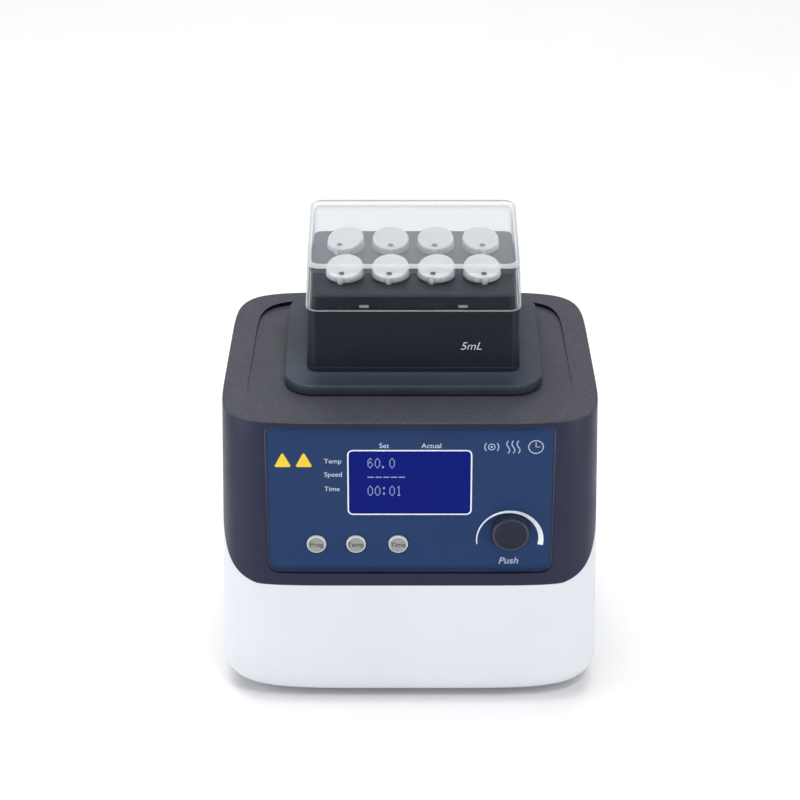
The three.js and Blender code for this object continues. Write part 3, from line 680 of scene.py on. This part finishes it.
# Display
screen = plate("display_window", 71.4, 42.4, 2, glass_low.y, glass_high.y, glass.x, glass.z, LCD_BLUE)
rounded(screen, 0.3, 2)
keep(smooth(screen), "housing", "display_blue", "lcd_glass")

DIGITS = {
    "0": ["..##..", ".#..#.", "#....#", "#....#", "#....#", "#....#", "#....#", ".#..#.", "..##.."],
    "1": ["..#...", ".##...", "..#...", "..#...", "..#...", "..#...", "..#...", "..#...", ".###.."],
    "6": ["..##..", ".#..#.", "#.....", "#.##..", "##..#.", "#....#", "#....#", ".#..#.", "..##.."],
    ".": ["......", "......", "......", "......", "......", "......", "......", "##....", "##...."],
    ":": ["......", ".##...", ".##...", "......", "......", "......", ".##...", ".##...", "......"],
    "-": ["......", "......", "......", "......", "......", "......", "#######", "......", "......"],
}
# The pitch of the display's dots, the lit part of each, and where its rows start
DOT_X, DOT_Z, DOT_LIT = 0.53, 0.75, 0.9
ROWS_LEFT = -24.9
# Text, height of its top and pitch of its letters
DISPLAY_ROWS = (("60.0", 171.2, 4.27), ("-----", 163.2, 4.56), ("00:01", 152.4, 4.27))
# How far printing stands off the face under it
PRINTED = 0.03


def flat_quads(name, quads, y, material):
    """Flat printed or lit patches at a depth, from lists of (x, z) corners."""
    points, faces = [], []
    for quad in quads:
        faces.append(tuple(range(len(points), len(points) + len(quad))))
        points += [(x, y, z) for x, z in quad]
    return mesh_piece(name, points, faces, material)


def rectangle(x0, z0, x1, z1):
    """A patch from its lower left to its upper right corner."""
    return [(x0, z0), (x1, z0), (x1, z1), (x0, z1)]


def rectangle_between(a, b, width):
    """A strip of a width from one (x, z) point to another."""
    length = math.hypot(b[0] - a[0], b[1] - a[1])
    across = ((a[1] - b[1]) * width / 2 / length, (b[0] - a[0]) * width / 2 / length)
    return [(a[0] - across[0], a[1] - across[1]), (b[0] - across[0], b[1] - across[1]),
            (b[0] + across[0], b[1] + across[1]), (a[0] + across[0], a[1] + across[1])]


lit = []
for text, top, pitch in DISPLAY_ROWS:
    for place, letter in enumerate(text):
        for row, line in enumerate(DIGITS[letter]):
            for column, mark in enumerate(line):
                if mark == "#":
                    x = ROWS_LEFT + place * pitch + column * DOT_X
                    z = top - row * DOT_Z
                    lit.append(rectangle(x, z - DOT_Z * DOT_LIT, x + DOT_X * DOT_LIT, z))
digits = flat_quads("display_digits", lit, glass_low.y - PRINTED, LCD_LIT)
keep(digits, "housing", "display_blue")


def outline_ring(width, height, radius, thickness, x, z):
    """A printed frame: the strip between two rounded rectangles."""
    outer = [(px + x, pz + z) for px, pz in oblong(width, height, radius, 10)]
    inner = [(px + x, pz + z) for px, pz in oblong(
        width - 2 * thickness, height - 2 * thickness, radius - thickness, 10)]
    return [[outer[i - 1], outer[i], inner[i], inner[i - 1]] for i in range(len(outer))]


def swoosh(x, z, radius, start, end, thin, thick):
    """An arc whose width grows from start to end, its outer edge on a circle."""
    def edge(t):
        angle = math.radians(start + (end - start) * t)
        inner = radius - thin - (thick - thin) * t ** 1.35
        return [(x + r * math.cos(angle), z + r * math.sin(angle)) for r in (radius, inner)]

    edges = [edge(step / 64) for step in range(65)]
    return [[a[0], b[0], b[1], a[1]] for a, b in zip(edges, edges[1:])]


def lettering(name, text, size, x, z, y, material, align="LEFT", shear=0, bold=0):
    """Printed words that face the front."""
    curve = bpy.data.curves.new(name, "FONT")
    curve.body = text
    curve.size = size * MM
    curve.shear = shear
    curve.offset = bold * MM
    curve.align_x = align
    curve.align_y = "CENTER"
    writing = bpy.data.objects.new(name, curve)
    bpy.context.scene.collection.objects.link(writing)
    writing.location = Vector((x, y, z)) * MM
    writing.rotation_euler = (math.radians(90), 0, 0)
    bpy.context.view_layer.update()
    graph = bpy.context.evaluated_depsgraph_get()
    mesh = bpy.data.meshes.new_from_object(writing.evaluated_get(graph))
    mesh.transform(writing.matrix_world)
    mesh.materials.clear()
    mesh.materials.append(material)
    bpy.data.objects.remove(writing)
    piece = bpy.data.objects.new(name, mesh)
    bpy.context.scene.collection.objects.link(piece)
    return piece


# The display's frame and the arc round the knob
INK_Y = PANEL_FRONT - PRINTED
lines = outline_ring(73.2, 44.2, 3.4, 0.85, glass.x - 0.2, glass.z)
lines += swoosh(59.2, 115.6, 20, 189, -11, 0.6, 3.3)
keep(flat_quads("panel_lines", lines, INK_Y, PRINT), "housing", "panel_blue")

# Words on the panel: text, x, z, size and alignment
LABELS = (
    ("Set", -15.2, 179.6, 4.6, "CENTER"),
    ("Actual", 12.5, 179.6, 4.6, "CENTER"),
    ("Temp", -50.4, 169.2, 4.4, "LEFT"),
    ("Speed", -50.4, 160.2, 4.4, "LEFT"),
    ("Time", -50.4, 150.4, 4.4, "LEFT"),
)
for text, x, z, size, align in LABELS:
    label = lettering(f"label_{text.lower()}", text, size, x, z, INK_Y, PRINT_PALE, align)
    keep(label, "housing", "panel_blue")
push = lettering("label_push", "Push", 6.3, 58.4, 100.8, INK_Y, PRINT_SILVER, "CENTER", 0.25, 0.08)
keep(push, "housing", "panel_blue")

# Small generic icons for shaking, heating and timing
ICON_LINE = 0.7
ICON_Z = 178.9
SHAKE_X, HEAT_X, TIMER_X = 47.6, 60.2, 73.4
icons = swoosh(SHAKE_X, ICON_Z, 2.2, 0, 360, 0.6, 0.6)
icons += swoosh(SHAKE_X, ICON_Z, ICON_LINE, 0, 360, ICON_LINE, ICON_LINE)
for start in (-40, 140):
    icons += swoosh(SHAKE_X, ICON_Z, 4.4, start, start + 80, ICON_LINE, ICON_LINE)
for x in (HEAT_X - 3, HEAT_X, HEAT_X + 3):
    wave = [(x + 0.9 * math.sin(math.radians(45 * k)), ICON_Z - 4.3 + 1.06 * k) for k in range(9)]
    icons += [rectangle_between(a, b, ICON_LINE) for a, b in zip(wave, wave[1:])]
icons += swoosh(TIMER_X, ICON_Z, 4.6, 0, 360, ICON_LINE, ICON_LINE)
icons.append(rectangle(TIMER_X - 0.3, ICON_Z - 0.3, TIMER_X + 0.3, ICON_Z + 3.1))
icons.append(rectangle(TIMER_X - 0.3, ICON_Z - 0.3, TIMER_X + 2.4, ICON_Z + 0.3))
keep(flat_quads("panel_icons", icons, INK_Y, PRINT_SILVER), "housing", "panel_blue")

# Two amber triangles: each corner's (x, z), rounded about the direction it points in, in degrees
TRIANGLE = ((-3.8, 0, 210), (3.8, 0, 330), (0, 7.5, 90))
amber = []
for x in (-74.6, -62.2):
    amber.append([(
        x + px + 0.8 * math.cos(math.radians(angle + turn)),
        166.2 + pz + 0.8 * math.sin(math.radians(angle + turn)),
    ) for px, pz, angle in TRIANGLE for turn in (-60, -30, 0, 30, 60)])
keep(flat_quads("status_marks", amber, INK_Y, PRINT_AMBER), "housing", "panel_blue")

# Keys: how much less proud they stand than the CAD's
KEY_SUNK = 1
for key, (x, z) in key_places.items():
    front = corners(f"button_{key}")[0].y + KEY_SUNK
    button = turned_front(f"key_{key}", [
        (0.4, front), (5.2, front), (5.45, front + 0.1), (5.65, front + 0.35), (5.78, front + 0.8),
        (5.8, front + 1.5), (5.8, front + 5), (7.2, front + 5), (7.2, front + 5.6), (0.4, front + 5.6),
    ], KEY_RIM, x=x, z=z)
    keep(smooth(button), f"button_{key}", "key_grey", f"button_{key}")
    face = [(x + px, z + pz) for px, pz in circle(5)]
    keep(flat_quads(f"face_{key}", [face], front - 0.02, KEY), f"button_{key}", "key_grey")
    mark = lettering(f"mark_{key}", key.capitalize(), 4.3, x, z, front - 0.05, PRINT_DARK,
                     "CENTER", 0, 0.05)
    keep(mark, f"button_{key}", "key_grey")

# Knob, with a painted highlight ring round its face in the lighter trim plastic
knob_front, knob_back = knob_low.y, knob_high.y
knob = turned_front("knob_cap", [
    (0.5, knob_front + 0.45), (6, knob_front + 0.4), (9.2, knob_front + 0.25), (9.7, knob_front + 0.05),
    (10, knob_front), (10.6, knob_front + 0.15), (11.1, knob_front + 0.6), (11.35, knob_front + 1.2),
    (11.45, knob_front + 2), (11.45, knob_back - 0.3), (11.2, knob_back), (0.5, knob_back),
], BLACK, TRIM_HIGHLIGHT, x=knob_middle.x, z=knob_middle.z, sides=96)


def on_highlight_ring(middle, normal):
    radius = math.hypot(middle.x - knob_middle.x, middle.z - knob_middle.z)
    return 9.7 < radius < 10.6 and middle.y < knob_front + 0.3


# Paints the ring at the face's rim in the lighter plastic: a painted highlight
paint(knob, 1, on_highlight_ring)
keep(smooth(knob), "knob", "black_plastic", "knob")

# ---- Platform, block and lid ---------------------------------------------------------------
skirt_low, skirt_high = corners("platform_skirt")
mid_x = (skirt_low.x + skirt_high.x) / 2
mid_y = (skirt_low.y + skirt_high.y) / 2


def stack(name, rows, *materials, steps=10):
    """Rounded rectangles, stacked on the platform's middle: rows of (width, depth, radius, z)."""
    rings = [at_height(oblong(w, d, r, steps), z, mid_x, mid_y) for w, d, r, z in rows]
    return loft(name, rings, *materials)


# Skirt: up its rounded lip, then over its hollow slope to the block's foot
SKIRT_W, SKIRT_D = 153, 120.6
OPENING = (111, 81, 4.5)
LIP = -0.7
STEPS_UP = (
    (0.5, LIP), (0.15, -0.5), (0, -0.2), (0.2, 3.9), (0.6, 4.1), (0.7, 4.4), (0.5, 4.7), (0.9, 5),
)
rows = [(*OPENING, skirt_high.z), (*OPENING, skirt_low.z + LIP)]
for drawn, z in STEPS_UP:
    rows.append((SKIRT_W - 2 * drawn, SKIRT_D - 2 * drawn, 18 - drawn, skirt_low.z + z))
for step in range(1, 13):
    t = step / 12
    drawn = 0.9 + t * 12.3
    z = skirt_low.z + 5 + 3 * (0.25 * t + 0.75 * t ** 3)
    rows.append((SKIRT_W - 2 * drawn, SKIRT_D - 2 * drawn, 17 - 9 * t, z))
rows += [(125.6, 93.6, 7, skirt_high.z), rows[0]]
skirt = stack("skirt", rows, SKIRT, steps=12)
keep(smooth(skirt, 40), "platform", "dark_plastic", "platform_skirt")

# Block's frame: down inside, out round its foot and up outside
block_low, block_high = corners("block_housing")
width, depth = block_high.x - block_low.x, block_high.y - block_low.y
hole_w, hole_d = width - 5.2, depth - 5.2
bottom, top = block_low.z, block_high.z
OUTSIDE = (
    (0.6, bottom), (0.2, bottom + 0.2), (0, bottom + 0.6), (0.05, bottom + 2.3), (0.35, bottom + 2.6),
    (0.4, bottom + 3), (0.4, top - 0.9), (0.55, top - 0.35), (0.9, top),
)
rows = [(hole_w, hole_d, 5.3, top - 0.4), (hole_w, hole_d, 5.3, bottom)]
rows += [(width - 2 * drawn, depth - 2 * drawn, 7 - drawn, z) for drawn, z in OUTSIDE]
rows += [(hole_w + 0.6, hole_d + 0.6, 5.6, top), rows[0]]
housing = stack("block_shell", rows, BLOCK)
keep(smooth(housing, 25), "block", "anodised", "block_housing")
mark = lettering("mark_volume", "5mL", 7.2, 35.8, 221.9, block_low.y - PRINTED, PRINT_PALE, "CENTER", 0.3)
keep(mark, "block", "anodised")

# Block's insert, with a well for each tube
insert_low, insert_high = corners("tube_block")
width, depth = insert_high.x - insert_low.x, insert_high.y - insert_low.y
rows = [(width, depth, 5, insert_low.z)]
for drawn, below in ((0, 1.4), (0.15, 0.75), (0.45, 0.32), (0.9, 0.08), (1.4, 0)):
    rows.append((width - 2 * drawn, depth - 2 * drawn, 5 - drawn, insert_high.z - below))
insert = stack("insert", rows, INSERT_SHADED_WALLS, INSERT_LIT_TOP)
# From a tube's axis to the back of its cap
CAP_BACK = 11.2
WELL = ((2.6, 211), (8.8, 226), (8.8, 253.2), (9.6, 254.1), (9.6, 260))
tube_places = []
for number in range(1, 9):
    low, high = corners(f"tube_{number}")
    tube_places.append(((low.x + high.x) / 2, high.y - CAP_BACK))
carved(insert, *(turned("well", WELL, x=x, y=y) for x, y in tube_places))
# The insert's upward faces get the lighter copy: painted top light
paint(insert, 1, lambda middle, normal: normal.z > 0.2 and middle.z > insert_high.z - 2)
keep(smooth(insert), "block", "block_grey", "tube_block")

# Tubes: a vial, its toothed cap with a leaning top, a tab and a dimple whose dark dot is painted shade, joined
tube_low, tube_high = corners("tube_1")
TIP, RIM, CAP_TOP = tube_low.z, 257.9, tube_high.z
tube_profile = [
    (0.3, TIP + 0.1), (1.2, TIP + 0.25), (2, TIP + 0.9), (8.3, 226), (8.3, 254.2), (9.8, 254.3),
    (9.8, 255.6),
]
cap_profile = [
    (10.6, 254.9, 0.4), (10.75, 255.2, 0.45), (10.75, 257.3, 0.45), (10.9, RIM, 0.1),
    (10.9, CAP_TOP - 2.2), (10.8, CAP_TOP - 1.1), (10.5, CAP_TOP - 0.4), (10, CAP_TOP - 0.1),
    (9.4, CAP_TOP), (8.8, CAP_TOP), (8.5, CAP_TOP - 0.3), (0.3, CAP_TOP - 0.3),
]
DIMPLE = ((1.7, CAP_TOP - 0.35), (1.7, CAP_TOP - 0.22), (1.4, CAP_TOP - 0.12))


def leaning(y):
    """The share of a cap's height over its rim, from its front (-11) to its back (11)."""
    return 0.56 + 0.04 * y


# Degrees each tube is turned in its well
TURNS = (-14, -6, -16, 8, -30, 0, -5, 8)
for number, ((x, y), turn) in enumerate(zip(tube_places, TURNS), 1):
    vial = turned("vial", tube_profile, FROSTED, sides=48)
    cap = turned("cap", cap_profile, CAP, sides=160)
    tab = slab("tab", 3.2, 2.6, 0.8, 254.3, 258.2, 0, -10.4, CAP, steps=3)
    # The dimple's dark dot is painted shade
    dimple = turned("dimple", DIMPLE, CAP_DIMPLE_SHADE, y=-7.4, sides=20)
    for vertex in [*cap.data.vertices, *dimple.data.vertices]:
        px, py, pz = vertex.co / MM
        if pz > RIM:
            vertex.co.z = (RIM + (pz - RIM) * leaning(py)) * MM
    joined(vial, cap, tab, dimple)
    vial.name = f"vial_{number}"
    smooth(vial, 40)
    vial.location = Vector((x, y, 0)) * MM
    vial.rotation_euler = (0, 0, math.radians(turn))
    keep(vial, f"tube_{number}", "frosted_plastic", f"tube_{number}")

# Lid: down inside from the roof, round its rim and up outside, as (drawn in, below the top) steps
lid_low, lid_high = corners("lid")
width, depth = lid_high.x - lid_low.x, lid_high.y - lid_low.y
bottom, top = lid_low.z, lid_high.z
INNER_EDGE = ((7.2, 2.5), (5.2, 2.6), (4.2, 3.1), (3.4, 4.2), (3, 6))
OUTER_EDGE = ((1, 3.4), (1.2, 2.1), (1.7, 1.1), (2.5, 0.4), (3.4, 0.07), (4.3, 0))
rows = []
for drawn, below in INNER_EDGE:
    rows.append((width - 2 * drawn, depth - 2 * drawn, max(6.6 - drawn * 0.7, 2), top - below))
rows += [
    (width - 4, depth - 4, 5, bottom + 0.2), (width - 3.4, depth - 3.4, 5.4, bottom),
    (width - 0.6, depth - 0.6, 6.7, bottom),
    (width, depth, 7, bottom + 0.5), (width, depth, 7, bottom + 0.9),
]
for drawn, below in OUTER_EDGE:
    rows.append((width - 2 * drawn, depth - 2 * drawn, 7 - drawn * 0.35, top - below))
lid = stack("lid_shell", rows, LID_WALL, LID_ROOF_SHEEN, LID_EDGE_HIGHLIGHT, LID_RIM_HIGHLIGHT, steps=12)
upper = bottom + 10
# By face direction and height, the roof gets painted sheen and the rounded top edges and the rim get painted
# highlight lines
paint(lid, 1, lambda middle, normal: (normal.z > 0.97 or normal.z < -0.2) and middle.z > upper)
paint(lid, 2, lambda middle, normal: 0.35 < normal.z <= 0.97 and middle.z > upper)
paint(lid, 3, lambda middle, normal: middle.z < bottom + 0.8)
lugs = []
for x in (mid_x - 29, mid_x + 29):
    for side in (-1, 1):
        y = mid_y + side * (depth / 2 - 2.5)
        # The lugs take the rim copy: painted highlight
        lug = slab("lug", 5.4, 1.4, 0.2, bottom + 1.6, bottom + 3, x, y, LID_RIM_HIGHLIGHT)
        lugs.append(rounded(lug, 0.2, 2))
joined(lid, *lugs)
keep(smooth(lid, 50), "lid", "clear_plastic", "lid")

# ---- CAD nodes that keep their shape -------------------------------------------------------
LOOKS = {
    "black_plastic": BLACK, "board_green": BOARD, "aluminium": ALUMINIUM, "steel": STEEL,
    "rubber": RUBBER, "silicone_orange": SILICONE, "key_grey": KEY, "dark_plastic": COVER,
}
slots = {part["node"]: part["material_slot"] for part in frame["record"]["subparts"]}
for node, piece in frame["nodes"].items():
    look = LOOKS.get(slots[node])
    if look:
        piece.data.materials.clear()
        piece.data.materials.append(look)

# ---- Floor ---------------------------------------------------------------------------------
FAR = 9000
floor_corners = [(-FAR, -FAR, 0), (FAR, -FAR, 0), (FAR, FAR, 0), (-FAR, FAR, 0)]
floor = mesh_piece("floor", floor_corners, [(0, 1, 2, 3)], FLOOR)
